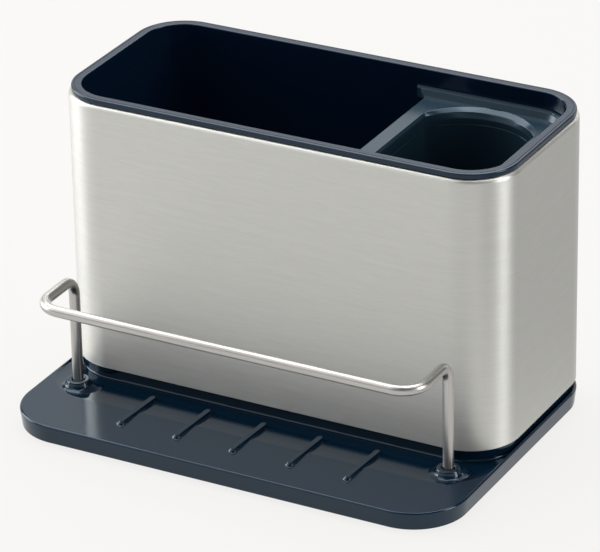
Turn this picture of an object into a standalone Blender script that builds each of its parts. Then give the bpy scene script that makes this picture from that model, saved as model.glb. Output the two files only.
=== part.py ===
"""Sink organizer: a steel-wrapped caddy that lifts off a moulded drip tray.

Metres, +Z up. X runs along the front and -Y is the front. The origin lies under the
middle of the tray, on the surface that its rubber feet stand on.
"""
import math
from collections import namedtuple

import bmesh
import bpy
from mathutils import Matrix, Vector

MM = 0.001

# Fits, cuts and facets
seat_gap = 0.3 * MM
overrun = 2.0 * MM
least_radius = 0.5 * MM
corner_steps = 8
round_steps = 24
fillet_steps = 3

# Caddy sleeve, folded from thin stainless sheet
sleeve_width = 221.4 * MM
sleeve_depth = 102.0 * MM
sleeve_height = 130.2 * MM
sleeve_radius = 24.0 * MM
sheet = 0.6 * MM
top_roll = 2.0 * MM
top_flange = 1.5 * MM

# Drip tray
ledge_depth = 54.2 * MM
tray_reveal = 0.3 * MM
tray_front_radius = 26.0 * MM
tray_edge_height = 8.5 * MM
tray_edge_round = 0.8 * MM
tray_draft = 0.8 * MM
tray_wall = 2.2 * MM
ledge_fall = 2.0 * MM
skirt_lift = 0.6 * MM
underside_recess = 0.6 * MM
basin_floor = 2.0 * MM
basin_round = 1.5 * MM
plinth_inset = 2.0 * MM
plinth_wall = 2.2 * MM
plinth_rise = 3.2 * MM
plinth_foot_round = 1.0 * MM
plinth_edge_round = 0.4 * MM

# Pockets that core out the underside of the ledge
pocket_count = 8
pocket_pitch = 19.0 * MM
pocket_web = 2.0 * MM

# Ribs on the ledge
rib_count = 5
rib_pitch = 28.5 * MM
rib_width = 2.2 * MM
rib_nose_width = 3.6 * MM
rib_rise = 0.9 * MM
rib_front_setback = 15.7 * MM
rib_back_setback = 7.3 * MM
rib_draft = 0.3 * MM
rib_round = 0.4 * MM
rib_end_steps = 5
rib_nose_steps = 8

# Rail of bent wire, and the bosses that it stands in
wire_diameter = 5.0 * MM
rail_rise = 53.8 * MM
rail_end_inset = 17.2 * MM
rail_leg_setback = 12.5 * MM
rail_bar_setback = 9.3 * MM
rail_top_bend = 8.0 * MM
rail_front_bend = 11.0 * MM
bend_steps = 6
wire_facets = 4
socket_clearance = 0.4 * MM
socket_floor = 1.5 * MM
socket_flare = 0.9 * MM
boss_flange_diameter = 17.6 * MM
boss_flange_height = 1.2 * MM
boss_neck_diameter = 10.6 * MM
boss_height = 4.2 * MM
boss_round = 0.5 * MM

# Rubber feet
foot_diameter = 14.0 * MM
foot_side_inset = 22.0 * MM
foot_end_inset = 24.0 * MM
foot_edge_round = 0.3 * MM

# Moulded collar in the sleeve's lower end
collar_reveal = 0.6 * MM
collar_height = 8.0 * MM
collar_wall = 2.0 * MM
collar_flange = 1.8 * MM
spigot_clearance = 0.4 * MM
spigot_wall = 1.8 * MM
spigot_depth = 3.0 * MM

# Liner that hangs in the sleeve by its rim
rim_inset = 1.2 * MM
rim_height = 2.4 * MM
rim_round = 0.7 * MM
liner_clearance = 0.4 * MM
liner_wall = 2.0 * MM
liner_draft = 2.5 * MM
liner_floor = 2.2 * MM
liner_floor_round = 4.0 * MM
liner_stand_off = 4.0 * MM
liner_slot_rows = 2
liner_slot_columns = 11
liner_slot_side_margin = 17.3 * MM
liner_slot_row_pitch = 36.0 * MM
liner_slot_length = 22.0 * MM
liner_slot_width = 3.0 * MM
bracket_width = 2.4 * MM
bracket_reach = 2.6 * MM
bracket_place_shares = (0.15, 0.72)

# Brush insert: a shelf with a cup, dropped into the right end of the liner
insert_length = 73.2 * MM
insert_clearance = 0.6 * MM
shelf_drop = 11.5 * MM
shelf_thickness = 1.8 * MM
lip_height = 3.7 * MM
lip_thickness = 1.4 * MM
lip_round = 0.4 * MM
lip_fillet = 1.6 * MM
flare_reach = 5.5 * MM
flare_length = 6.0 * MM
flare_steps = 5
cup_width = 55.3 * MM
cup_end_bulge = 18.4 * MM
cup_corner_round = 4.0 * MM
cup_end_margin = 2.0 * MM
cup_right_margin = 10.9 * MM
cup_mouth_depth = 2.6 * MM
cup_side_slope = 1.8 * MM
cup_end_slope = 4.0 * MM
cup_wall = 1.8 * MM
cup_draft = 2.0 * MM
cup_floor = 1.8 * MM
cup_floor_round = 3.0 * MM
cup_stand_off = 12.0 * MM
cup_arc_steps = 10
cup_corner_steps = 2
cup_slot_count = 3
cup_slot_pitch = 12.0 * MM
cup_slot_length = 24.0 * MM
cup_slot_width = 3.0 * MM

# Heights that follow from the sizes above
tray_top = skirt_lift + tray_edge_height
tray_underside = skirt_lift + underside_recess
plinth_foot = tray_top - ledge_fall
plinth_top = tray_top + plinth_rise
basin_top = tray_underside + basin_floor
foot_height = tray_underside - seat_gap
collar_bottom = plinth_top + seat_gap
sleeve_bottom = collar_bottom + collar_reveal
sleeve_top = sleeve_bottom + sleeve_height
rim_bottom = sleeve_top + seat_gap
rim_top = rim_bottom + rim_height
liner_bottom = collar_bottom + collar_flange + liner_stand_off
liner_floor_top = liner_bottom + liner_floor
shelf_top = rim_top - shelf_drop
shelf_bottom = shelf_top - shelf_thickness
cup_floor_top = liner_floor_top + cup_stand_off
rail_height = tray_top + rail_rise
socket_bottom = tray_underside + socket_floor

# Places that follow from them
tray_width = sleeve_width + 2 * tray_reveal
tray_depth = ledge_depth + sleeve_depth + tray_reveal
tray_front = -tray_depth / 2
tray_back = tray_depth / 2
sleeve_back = tray_back - tray_reveal
sleeve_front = sleeve_back - sleeve_depth
caddy_middle = (sleeve_front + sleeve_back) / 2
rail_side = tray_width / 2 - rail_end_inset
rail_leg_place = sleeve_front - rail_leg_setback
rail_bar_place = tray_front + rail_bar_setback
liner_outer_inset = top_roll + top_flange + liner_clearance
liner_inner_inset = liner_outer_inset + liner_wall
liner_floor_width = sleeve_width - 2 * (liner_inner_inset + liner_draft)
liner_slot_pitch = (liner_floor_width - 2 * liner_slot_side_margin) / (liner_slot_columns - 1)
insert_inset = liner_inner_inset + insert_clearance
insert_right = sleeve_width / 2 - insert_inset
insert_left = insert_right - insert_length
insert_front = sleeve_front + insert_inset
insert_back = sleeve_back - insert_inset
cup_right = insert_right - cup_right_margin
cup_middle = cup_right - cup_width / 2
cup_back = insert_back - cup_end_margin
cup_front = insert_front + cup_end_margin

Footprint = namedtuple("Footprint", "half_width front back front_radius back_radius")
tray_shape = Footprint(tray_width / 2, tray_front, tray_back, tray_front_radius, sleeve_radius + tray_reveal)
sleeve_shape = Footprint(sleeve_width / 2, sleeve_front, sleeve_back, sleeve_radius, sleeve_radius)


def clear_scene():
    for thing in list(bpy.data.objects):
        bpy.data.objects.remove(thing, do_unlink=True)


def make_material(name, colour, roughness, metallic):
    material = bpy.data.materials.new(name)
    material.use_nodes = True
    shader = material.node_tree.nodes["Principled BSDF"]
    shader.inputs["Base Color"].default_value = (*colour, 1.0)
    shader.inputs["Roughness"].default_value = roughness
    shader.inputs["Metallic"].default_value = metallic
    return material


def add_empty(name, place, parent=None):
    """Guide on a joint's axis, which its body's pieces hang from."""
    empty = bpy.data.objects.new(name, None)
    bpy.context.collection.objects.link(empty)
    empty.location = place
    if parent:
        empty.parent = parent
        empty.matrix_parent_inverse = parent.matrix_world.inverted()
    bpy.context.view_layer.update()
    return empty


def add_object(name, data, material=None, parent=None):
    piece = bpy.data.objects.new(name, data)
    bpy.context.collection.objects.link(piece)
    if material:
        data.materials.append(material)
    if parent:
        piece.parent = parent
        piece.matrix_parent_inverse = parent.matrix_world.inverted()
    return piece


def add_mesh(name, bm, material=None, parent=None):
    bmesh.ops.recalc_face_normals(bm, faces=bm.faces)
    mesh = bpy.data.meshes.new(name)
    bm.to_mesh(mesh)
    bm.free()
    mesh.shade_smooth()
    mesh.set_sharp_from_angle(angle=math.radians(35))
    return add_object(name, mesh, material, parent)


def outline(shape, inset, z):
    """Rounded rectangle inside a footprint, counter-clockwise from its left front corner."""
    half = shape.half_width - inset
    front = shape.front + inset
    back = shape.back - inset
    front_round = max(shape.front_radius - inset, least_radius)
    back_round = max(shape.back_radius - inset, least_radius)
    corners = (
        (-half + front_round, front + front_round, front_round, 180),
        (half - front_round, front + front_round, front_round, 270),
        (half - back_round, back - back_round, back_round, 0),
        (-half + back_round, back - back_round, back_round, 90),
    )
    points = []
    for x, y, radius, start in corners:
        for step in range(corner_steps + 1):
            turn = math.radians(start + 90 * step / corner_steps)
            points.append(Vector((x + radius * math.cos(turn), y + radius * math.sin(turn), z)))
    return points


def circle(x, y, radius, z):
    turns = [2 * math.pi * step / round_steps for step in range(round_steps)]
    return [Vector((x + radius * math.cos(turn), y + radius * math.sin(turn), z)) for turn in turns]


def quarter_round(radius, steps=fillet_steps):
    """Offsets (across, down) of a quarter round, from its flat face to its upright one."""
    turns = [math.pi / 2 * step / steps for step in range(steps + 1)]
    return [(radius * (1 - math.sin(turn)), radius * (1 - math.cos(turn))) for turn in turns]


def loft(name, loops, material=None, parent=None, closed=False):
    """Body with walls between loops of equal counts, capped or joined round into a ring."""
    bm = bmesh.new()
    rows = [[bm.verts.new(point) for point in loop] for loop in loops]
    count = len(rows[0])
    pairs = list(zip(rows, rows[1:]))
    if closed:
        pairs.append((rows[-1], rows[0]))
    else:
        bm.faces.new(rows[0])
        bm.faces.new(rows[-1])
    for lower, upper in pairs:
        for here in range(count):
            after = (here + 1) % count
            bm.faces.new((lower[here], lower[after], upper[after], upper[here]))
    return add_mesh(name, bm, material, parent)


def blocks(name, spans):
    """Separate blocks, each given by its lowest and highest corner."""
    bm = bmesh.new()
    for low, high in spans:
        size = Vector(high) - Vector(low)
        middle = (Vector(high) + Vector(low)) / 2
        place = Matrix.Translation(middle) @ Matrix.Diagonal((*size, 1.0))
        bmesh.ops.create_cube(bm, size=1.0, matrix=place)
    return add_mesh(name, bm)


def combine(target, tool, operation):
    """Boolean with a hidden tool, by the exact solver."""
    tool.hide_render = True
    tool.display_type = "WIRE"
    change = target.modifiers.new(tool.name, "BOOLEAN")
    change.operation = operation
    change.solver = "EXACT"
    change.object = tool


def spread(count, pitch):
    """Evenly spaced places about zero."""
    return [(number - (count - 1) / 2) * pitch for number in range(count)]


def ledge_height(y):
    """Height of the ledge's sloping top at a place along the depth."""
    high_end = tray_front + tray_edge_round
    low_end = sleeve_front + plinth_inset - plinth_foot_round
    return tray_top - ledge_fall * (y - high_end) / (low_end - high_end)


def tray_loops():
    """Sections of the tray from the basin floor, over the plinth, to the underside."""
    basin_inset = plinth_inset + plinth_wall
    loops = []
    for across, up in quarter_round(basin_round):
        loops.append(outline(sleeve_shape, basin_inset + across, basin_top + up))
    for across, down in reversed(quarter_round(plinth_edge_round)):
        loops.append(outline(sleeve_shape, basin_inset - across, plinth_top - down))
    for across, down in quarter_round(plinth_edge_round):
        loops.append(outline(sleeve_shape, plinth_inset + across, plinth_top - down))
    for across, up in reversed(quarter_round(plinth_foot_round)):
        loops.append(outline(sleeve_shape, plinth_inset - across, plinth_foot + up))
    for across, down in quarter_round(tray_edge_round):
        loops.append(outline(tray_shape, across, tray_top - down))
    loops.append(outline(tray_shape, tray_draft, skirt_lift))
    loops.append(outline(tray_shape, tray_draft + tray_wall, skirt_lift))
    loops.append(outline(tray_shape, tray_draft + tray_wall, tray_underside))
    return loops


def rib_outline(x, spare, z):
    """Keyhole section of a rib: a round nose in front of a narrower bar."""
    nose = rib_nose_width / 2 + spare
    bar = rib_width / 2 + spare
    nose_middle = tray_front + rib_front_setback + rib_nose_width / 2
    bar_end = sleeve_front - rib_back_setback - rib_width / 2
    neck = math.acos(bar / nose)
    points = []
    for step in range(rib_end_steps + 1):
        turn = math.pi * step / rib_end_steps
        points.append(Vector((x + bar * math.cos(turn), bar_end + bar * math.sin(turn), z)))
    for step in range(rib_nose_steps + 1):
        turn = math.pi - neck + (math.pi + 2 * neck) * step / rib_nose_steps
        points.append(Vector((x + nose * math.cos(turn), nose_middle + nose * math.sin(turn), z)))
    return points


def build_rib(number, x):
    root = plinth_foot - tray_wall / 2
    top = tray_top + rib_rise
    loops = [
        rib_outline(x, rib_draft, root),
        rib_outline(x, 0, top - rib_round),
        rib_outline(x, -rib_round, top),
    ]
    return loft(f"rib_{number}", loops)


def build_boss(name, x):
    flange = boss_flange_diameter / 2
    neck = boss_neck_diameter / 2
    ledge = ledge_height(rail_leg_place)
    flange_top = ledge + boss_flange_height
    top = ledge + boss_height
    steps = [(flange, plinth_foot - tray_wall / 2)]
    for across, down in reversed(quarter_round(boss_round)):
        steps.append((flange - across, flange_top - down))
    for across, up in quarter_round(boss_round):
        steps.append((neck + across, flange_top + up))
    for across, down in reversed(quarter_round(boss_round)):
        steps.append((neck - across, top - down))
    return loft(name, [circle(x, rail_leg_place, radius, z) for radius, z in steps])


def build_socket(name, x):
    bore = wire_diameter / 2 + socket_clearance
    top = ledge_height(rail_leg_place) + boss_height
    steps = (
        (bore, socket_bottom),
        (bore, top - socket_flare),
        (bore + socket_flare, top),
        (bore + socket_flare, top + overrun),
    )
    return loft(name, [circle(x, rail_leg_place, radius, z) for radius, z in steps])


def pocket_spans():
    half = (pocket_pitch - pocket_web) / 2
    front = tray_front + tray_draft + tray_wall + pocket_web
    back = sleeve_front + plinth_inset - pocket_web
    low = tray_underside - overrun
    high = plinth_foot - tray_wall
    return [((x - half, front, low), (x + half, back, high)) for x in spread(pocket_count, pocket_pitch)]


def build_tray(material):
    tray = loft("drip_tray", tray_loops(), material)
    combine(tray, blocks("pockets", pocket_spans()), "DIFFERENCE")
    for number, x in enumerate(spread(rib_count, rib_pitch), 1):
        combine(tray, build_rib(number, x), "UNION")
    for side, x in (("left", -rail_side), ("right", rail_side)):
        combine(tray, build_boss(f"boss_{side}", x), "UNION")
        combine(tray, build_socket(f"socket_{side}", x), "DIFFERENCE")
    return tray


def build_feet(material):
    """Round pads under the tray's corners, which share one mesh."""
    radius = foot_diameter / 2
    steps = [(radius - across, up) for across, up in quarter_round(foot_edge_round)]
    steps.append((radius, foot_height))
    first = loft("foot_front_left", [circle(0, 0, size, z) for size, z in steps], material)
    side = tray_width / 2 - foot_side_inset
    places = (
        ("foot_front_right", side, tray_front + foot_end_inset),
        ("foot_back_left", -side, tray_back - foot_end_inset),
        ("foot_back_right", side, tray_back - foot_end_inset),
    )
    first.location = (-side, tray_front + foot_end_inset, 0)
    for name, x, y in places:
        foot = add_object(name, first.data)
        foot.location = (x, y, 0)


def build_sleeve(material, parent):
    """Ring section: up the outside, over the rolled edge, and back down the inside."""
    section = [(0, sleeve_bottom)]
    for across, down in reversed(quarter_round(top_roll)):
        section.append((across, sleeve_top - down))
    section.append((top_roll + top_flange, sleeve_top))
    section.append((top_roll + top_flange, sleeve_top - sheet))
    for across, down in quarter_round(top_roll - sheet):
        section.append((sheet + across, sleeve_top - sheet - down))
    section.append((sheet, sleeve_bottom))
    loops = [outline(sleeve_shape, inset, z) for inset, z in section]
    return loft("outer_sleeve", loops, material, parent, closed=True)


def build_collar(material, parent):
    """Ring section: a wall inside the sleeve, a flange on the plinth and a spigot in the basin."""
    outer = sheet + seat_gap
    inner = outer + collar_wall
    spigot_outer = plinth_inset + plinth_wall + spigot_clearance
    spigot_inner = spigot_outer + spigot_wall
    flange_top = collar_bottom + collar_flange
    spigot_bottom = collar_bottom - spigot_depth
    section = (
        (outer, collar_bottom),
        (outer, collar_bottom + collar_height),
        (inner, collar_bottom + collar_height),
        (inner, flange_top),
        (spigot_inner, flange_top),
        (spigot_inner, spigot_bottom),
        (spigot_outer, spigot_bottom),
        (spigot_outer, collar_bottom),
    )
    loops = [outline(sleeve_shape, inset, z) for inset, z in section]
    return loft("sleeve_collar", loops, material, parent, closed=True)


def liner_loops():
    """Sections of the tub from its floor, up inside, over the rim and down outside."""
    section = []
    for across, up in quarter_round(liner_floor_round):
        section.append((liner_inner_inset + liner_draft + across, liner_floor_top + up))
    for across, down in reversed(quarter_round(rim_round)):
        section.append((liner_inner_inset - across, rim_top - down))
    for across, down in quarter_round(rim_round):
        section.append((rim_inset + across, rim_top - down))
    section.append((rim_inset, rim_bottom))
    section.append((liner_outer_inset, rim_bottom))
    for across, up in reversed(quarter_round(liner_floor_round)):
        section.append((liner_outer_inset + liner_draft + across, liner_bottom + up))
    return [outline(sleeve_shape, inset, z) for inset, z in section]


def liner_slot_spans():
    spans = []
    low = liner_bottom - overrun
    high = liner_floor_top + overrun
    for row in spread(liner_slot_rows, liner_slot_row_pitch):
        front = caddy_middle + row - liner_slot_length / 2
        back = front + liner_slot_length
        for x in spread(liner_slot_columns, liner_slot_pitch):
            left = x - liner_slot_width / 2
            right = x + liner_slot_width / 2
            spans.append(((left, front, low), (right, back, high)))
    return spans


def liner_lean(z):
    """How far in the liner's drafted wall stands at a height, against its place at the rim."""
    return liner_draft * (rim_top - z) / (rim_top - liner_floor_top)


def build_bracket(name, x, sleeve_face, inward):
    """Rib that leans with the liner's wall, rooted in it, and carries the insert's shelf."""
    loops = []
    for z in (liner_floor_top - liner_floor / 4, shelf_bottom - seat_gap):
        wall_face = liner_inner_inset + liner_lean(z)
        root = sleeve_face + inward * (wall_face - liner_wall / 4)
        edge = sleeve_face + inward * (wall_face + bracket_reach)
        corners = ((-1, root), (1, root), (1, edge), (-1, edge))
        loops.append([Vector((x + side * bracket_width / 2, y, z)) for side, y in corners])
    return loft(name, loops)


def build_liner(material, parent):
    liner = loft("inner_liner", liner_loops(), material, parent)
    for number, share in enumerate(bracket_place_shares, 1):
        x = insert_left + insert_length * share
        combine(liner, build_bracket(f"bracket_front_{number}", x, sleeve_front, 1), "UNION")
        combine(liner, build_bracket(f"bracket_back_{number}", x, sleeve_back, -1), "UNION")
    combine(liner, blocks("liner_slots", liner_slot_spans()), "DIFFERENCE")
    return liner


def shelf_loops():
    """Sections of a shallow lidless tray: its underside, side, lip and filleted top."""
    lip_top = shelf_top + lip_height
    section = [(insert_inset, shelf_bottom)]
    for across, down in reversed(quarter_round(lip_round)):
        section.append((insert_inset + across, lip_top - down))
    for down_share, across_share in quarter_round(1, 2 * fillet_steps):
        across = lip_thickness + lip_fillet * across_share
        section.append((insert_inset + across, shelf_top + lip_height * down_share))
    return [outline(sleeve_shape, inset, z) for inset, z in section]


def flare_outline(z):
    """Plan of what is cut away left of the shelf, with a fillet at each wall of the liner."""
    far_left = -sleeve_width / 2
    tip = insert_left - flare_reach
    back_side = []
    for step in range(flare_steps + 1):
        turn = math.pi / 2 * step / flare_steps
        x = tip + flare_reach * math.cos(turn)
        y = insert_back - flare_length + (flare_length - lip_thickness) * math.sin(turn)
        back_side.append((x, y))
    back_side.append((tip, insert_back + overrun))
    middle = insert_front + insert_back
    front_side = [(x, middle - y) for x, y in reversed(back_side)]
    plan = [(far_left, insert_front - overrun), *front_side, *back_side, (far_left, insert_back + overrun)]
    return [Vector((x, y, z)) for x, y in plan]


def cup_outline(side_inset, end_inset, z):
    """Straight sides, bowed ends and eased corners, set in from the edge of the cup's mouth."""
    side = cup_width / 2 - side_inset
    bulge = cup_end_bulge - end_inset
    radius = (side * side + bulge * bulge) / (2 * bulge)
    reach = radius - cup_corner_round
    corner = math.acos((side - cup_corner_round) / reach)
    eased = [corner * step / cup_corner_steps for step in range(cup_corner_steps)]
    bowed = [corner + (math.pi - 2 * corner) * step / cup_arc_steps for step in range(cup_arc_steps + 1)]
    turns = eased + bowed + [math.pi - turn for turn in reversed(eased)]
    points = []
    for end, middle in ((1, cup_back - end_inset - radius), (-1, cup_front + end_inset + radius)):
        for turn in turns:
            swing = min(max(turn, corner), math.pi - corner)
            x = reach * math.cos(swing) + cup_corner_round * math.cos(turn)
            y = reach * math.sin(swing) + cup_corner_round * math.sin(turn)
            points.append(Vector((cup_middle + end * x, middle + end * y, z)))
    return points


def build_cup_outside():
    side = cup_side_slope - cup_wall
    end = cup_end_slope - cup_wall
    bottom = cup_floor_top - cup_floor
    loops = []
    for across, up in quarter_round(cup_floor_round):
        inset = cup_draft + across
        loops.append(cup_outline(side + inset, end + inset, bottom + up))
    loops.append(cup_outline(side, end, shelf_top - shelf_thickness / 2))
    return loft("cup_outside", loops)


def build_cup_inside():
    """Cutter for the cup: a drafted well whose mouth rounds over, most at its bowed ends."""
    loops = []
    for across, up in quarter_round(cup_floor_round):
        inset = cup_draft + across
        loops.append(cup_outline(cup_side_slope + inset, cup_end_slope + inset, cup_floor_top + up))
    for down_share, back_share in quarter_round(1):
        side = cup_side_slope * (1 - back_share)
        end = cup_end_slope * (1 - back_share)
        loops.append(cup_outline(side, end, shelf_top - cup_mouth_depth * down_share))
    loops.append(cup_outline(0, 0, shelf_top + lip_height + overrun))
    return loft("cup_inside", loops)


def cup_slot_spans():
    half = cup_slot_width / 2
    front = (cup_front + cup_back - cup_slot_length) / 2
    back = front + cup_slot_length
    low = cup_floor_top - cup_floor - overrun
    high = cup_floor_top + overrun
    places = [cup_middle + x for x in spread(cup_slot_count, cup_slot_pitch)]
    return [((x - half, front, low), (x + half, back, high)) for x in places]


def build_insert(material, parent):
    insert = loft("brush_insert", shelf_loops(), material, parent)
    flare_low = shelf_bottom - overrun
    flare_high = shelf_top + lip_height + overrun
    combine(insert, loft("flare_cut", [flare_outline(flare_low), flare_outline(flare_high)]), "DIFFERENCE")
    combine(insert, build_cup_outside(), "UNION")
    combine(insert, build_cup_inside(), "DIFFERENCE")
    combine(insert, blocks("cup_slots", cup_slot_spans()), "DIFFERENCE")
    return insert


def bend_path(corners, radii):
    """Straight runs between corners, with each bend drawn as an arc of its own radius."""
    path = [corners[0]]
    for before, corner, after, radius in zip(corners, corners[1:], corners[2:], radii):
        back = (before - corner).normalized()
        ahead = (after - corner).normalized()
        half = back.angle(ahead) / 2
        middle = corner + (back + ahead).normalized() * radius / math.sin(half)
        start = corner + back * radius / math.tan(half) - middle
        end = corner + ahead * radius / math.tan(half) - middle
        for step in range(bend_steps + 1):
            path.append(middle + start.slerp(end, step / bend_steps).normalized() * radius)
    path.append(corners[-1])
    return path


def build_rail(material, parent):
    foot = socket_bottom + seat_gap
    corners = [
        Vector((-rail_side, rail_leg_place, foot)),
        Vector((-rail_side, rail_leg_place, rail_height)),
        Vector((-rail_side, rail_bar_place, rail_height)),
        Vector((rail_side, rail_bar_place, rail_height)),
        Vector((rail_side, rail_leg_place, rail_height)),
        Vector((rail_side, rail_leg_place, foot)),
    ]
    path = bend_path(corners, (rail_top_bend, rail_front_bend, rail_front_bend, rail_top_bend))
    wire = bpy.data.curves.new("rail", "CURVE")
    wire.dimensions = "3D"
    wire.bevel_depth = wire_diameter / 2
    wire.bevel_resolution = wire_facets
    wire.use_fill_caps = True
    spline = wire.splines.new("POLY")
    spline.points.add(len(path) - 1)
    for point, place in zip(spline.points, path):
        point.co = (*place, 1.0)
    return add_object("rail", wire, material, parent)


def build():
    clear_scene()
    steel = make_material("brushed_steel", (0.56, 0.56, 0.54), 0.32, 1.0)
    wire_steel = make_material("wire_steel", (0.55, 0.54, 0.52), 0.22, 1.0)
    tray_plastic = make_material("tray_plastic", (0.022, 0.034, 0.045), 0.16, 0.0)
    liner_plastic = make_material("liner_plastic", (0.020, 0.032, 0.045), 0.24, 0.0)
    insert_plastic = make_material("insert_plastic", (0.026, 0.038, 0.050), 0.22, 0.0)
    collar_plastic = make_material("collar_plastic", (0.020, 0.030, 0.040), 0.35, 0.0)
    rubber = make_material("rubber", (0.030, 0.030, 0.032), 0.80, 0.0)

    caddy_lift = add_empty("caddy_lift", (0, caddy_middle, collar_bottom))
    liner_lift = add_empty("liner_lift", (0, caddy_middle, rim_bottom), caddy_lift)
    insert_lift = add_empty("insert_lift", (cup_middle, caddy_middle, shelf_bottom), liner_lift)
    rail_lift = add_empty("rail_lift", (0, rail_leg_place, socket_bottom))

    build_tray(tray_plastic)
    build_feet(rubber)
    build_sleeve(steel, caddy_lift)
    build_collar(collar_plastic, caddy_lift)
    build_liner(liner_plastic, liner_lift)
    build_insert(insert_plastic, insert_lift)
    build_rail(wire_steel, rail_lift)


build()
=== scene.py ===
"""Sink organizer: the looks of a steel-wrapped caddy that stands on a moulded drip tray.

Metres, +Z up, -Y towards the cloth rail. Fine meshes stand in for the tray, the sleeve,
the liner, the brush insert and the rail. The collar and the rubber feet keep their own.
"""
import math
from collections import namedtuple

import bmesh
import bpy
from mathutils import Matrix, Vector


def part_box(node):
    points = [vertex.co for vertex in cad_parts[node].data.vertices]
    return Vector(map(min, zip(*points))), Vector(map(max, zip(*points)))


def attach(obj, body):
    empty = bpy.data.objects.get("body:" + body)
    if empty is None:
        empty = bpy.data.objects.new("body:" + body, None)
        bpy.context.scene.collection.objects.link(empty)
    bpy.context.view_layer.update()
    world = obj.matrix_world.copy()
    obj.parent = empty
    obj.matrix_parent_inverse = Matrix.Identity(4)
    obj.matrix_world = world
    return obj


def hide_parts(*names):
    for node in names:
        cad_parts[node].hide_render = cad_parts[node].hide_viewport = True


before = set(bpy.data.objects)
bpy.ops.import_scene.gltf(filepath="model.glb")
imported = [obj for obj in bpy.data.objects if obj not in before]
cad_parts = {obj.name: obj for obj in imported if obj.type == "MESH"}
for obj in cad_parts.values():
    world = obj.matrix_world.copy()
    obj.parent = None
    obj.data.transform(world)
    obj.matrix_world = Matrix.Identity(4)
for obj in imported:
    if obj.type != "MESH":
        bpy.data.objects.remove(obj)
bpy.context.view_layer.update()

MM = 0.001

# Facets, cuts and fits
corner_steps = 24
lathe_steps = 72
fillet_steps = 6
bow_steps = 32
bow_corner_steps = 6
overrun = 2.0 * MM
least_radius = 0.5 * MM
seat_gap = 0.3 * MM
sharp_angle = math.radians(40)
face_weight = 80

# Steel sleeve
sleeve_radius = 24.0 * MM
sheet = 0.6 * MM
top_roll = 2.0 * MM
top_flange = 1.5 * MM
hem_round = 0.2 * MM

# Drip tray
tray_front_radius = 26.0 * MM
tray_edge_height = 8.5 * MM
tray_edge_round = 1.0 * MM
tray_draft = 0.8 * MM
tray_wall = 2.2 * MM
tray_reveal = 0.3 * MM
skirt_round = 0.4 * MM
underside_recess = 0.6 * MM
basin_floor = 2.0 * MM
basin_round = 1.5 * MM
ledge_fall = 2.0 * MM
ledge_crest_setback = 30.8 * MM
ledge_crest_fall = 0.15 * MM
ledge_slope_length = 8.0 * MM
ledge_slope_fall = 0.95 * MM
ledge_crest_round = 0.5 * MM
ledge_hollow_round = 3.0 * MM
plinth_inset = 2.0 * MM
plinth_wall = 2.2 * MM
plinth_foot_round = 1.0 * MM
plinth_edge_round = 0.4 * MM
pocket_count = 8
pocket_pitch = 19.0 * MM
pocket_web = 2.0 * MM
row_spacing = 3.0 * MM
column_spacing = 4.0 * MM
fine_spacing = 0.15 * MM

# Ribs on the ledge
rib_count = 5
rib_pitch = 28.5 * MM
rib_front_width = 2.3 * MM
rib_back_width = 3.0 * MM
rib_nose_width = 3.6 * MM
rib_front_rise = 1.5 * MM
rib_back_rise = 0.2 * MM
rib_front_setback = 15.7 * MM
rib_back_setback = 7.3 * MM
rib_flank = 0.45 * MM
rib_margin = 1.2 * MM
nose_round = 2.15 * MM
nose_fillet = 0.8 * MM
nose_cap_angle = 62

# Rail and the bosses that it stands in
rail_end_inset = 17.2 * MM
rail_top_bend = 8.0 * MM
rail_front_bend = 11.0 * MM
bend_steps = 16
wire_sides = 40
wire_place_name = "wire_place"
boss_height = 4.2 * MM
boss_curve_steps = 4
socket_clearance = 0.4 * MM
socket_floor = 1.5 * MM
socket_flare = 0.7 * MM

# Section of a boss, from its feathered foot to its crown: radius and rise above the ledge, in mm
boss_profile = (
    (10.8, 0.0), (10.4, 0.03), (9.8, 0.1), (9.3, 0.22),
    (8.8, 0.4), (8.3, 0.62), (7.5, 0.98), (6.8, 1.29),
    (6.35, 1.58), (6.0, 1.95), (5.7, 2.6), (5.45, 3.25),
    (5.25, 3.75), (5.05, 4.03), (4.7, 4.17), (4.3, 4.2),
)

# Liner
rim_round = 0.7 * MM
rim_inner_round = 0.5 * MM
rim_foot_round = 0.4 * MM
rim_inset = 1.2 * MM
rim_height = 2.4 * MM
rim_band = 1.3 * MM
rim_groove_width = 0.3 * MM
rim_groove_depth = 0.22 * MM
rim_groove_floor_shares = (0.7, 0.3)
liner_clearance = 0.4 * MM
liner_wall = 2.0 * MM
liner_draft = 2.5 * MM
liner_floor = 2.2 * MM
liner_floor_round = 4.0 * MM
liner_slot_rows = 2
liner_slot_columns = 11
liner_slot_pitch = 17.0 * MM
liner_slot_row_pitch = 36.0 * MM
liner_slot_length = 22.0 * MM
liner_slot_width = 3.0 * MM
bracket_width = 2.4 * MM
bracket_reach = 2.6 * MM
bracket_root_share = 0.25
bracket_place_shares = (0.15, 0.72)

# Brush insert
insert_length = 73.2 * MM
shelf_drop = 11.5 * MM
shelf_thickness = 1.8 * MM
lip_height = 3.7 * MM
lip_thickness = 1.4 * MM
lip_round = 0.25 * MM
lip_edge = 1.15 * MM
lip_edge_fall = 0.2 * MM
lip_step = 0.95 * MM
lip_shoulder = 0.45 * MM
lip_shoulder_fall = 0.12 * MM
lip_fillet = 1.6 * MM
flare_reach = 5.5 * MM
flare_length = 6.0 * MM
cup_width = 55.3 * MM
cup_end_bulge = 18.4 * MM
cup_corner_round = 4.0 * MM
cup_end_margin = 2.0 * MM
cup_right_margin = 10.9 * MM
cup_side_slope = 1.2 * MM
cup_end_slope = 4.6 * MM
cup_ring_depth = 6.9 * MM
cup_ring_step = 0.07 * MM
cup_wall = 1.8 * MM
cup_draft = 2.0 * MM
cup_floor = 1.8 * MM
cup_floor_round = 3.0 * MM
cup_slot_count = 3
cup_slot_pitch = 12.0 * MM
cup_slot_length = 24.0 * MM
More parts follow.
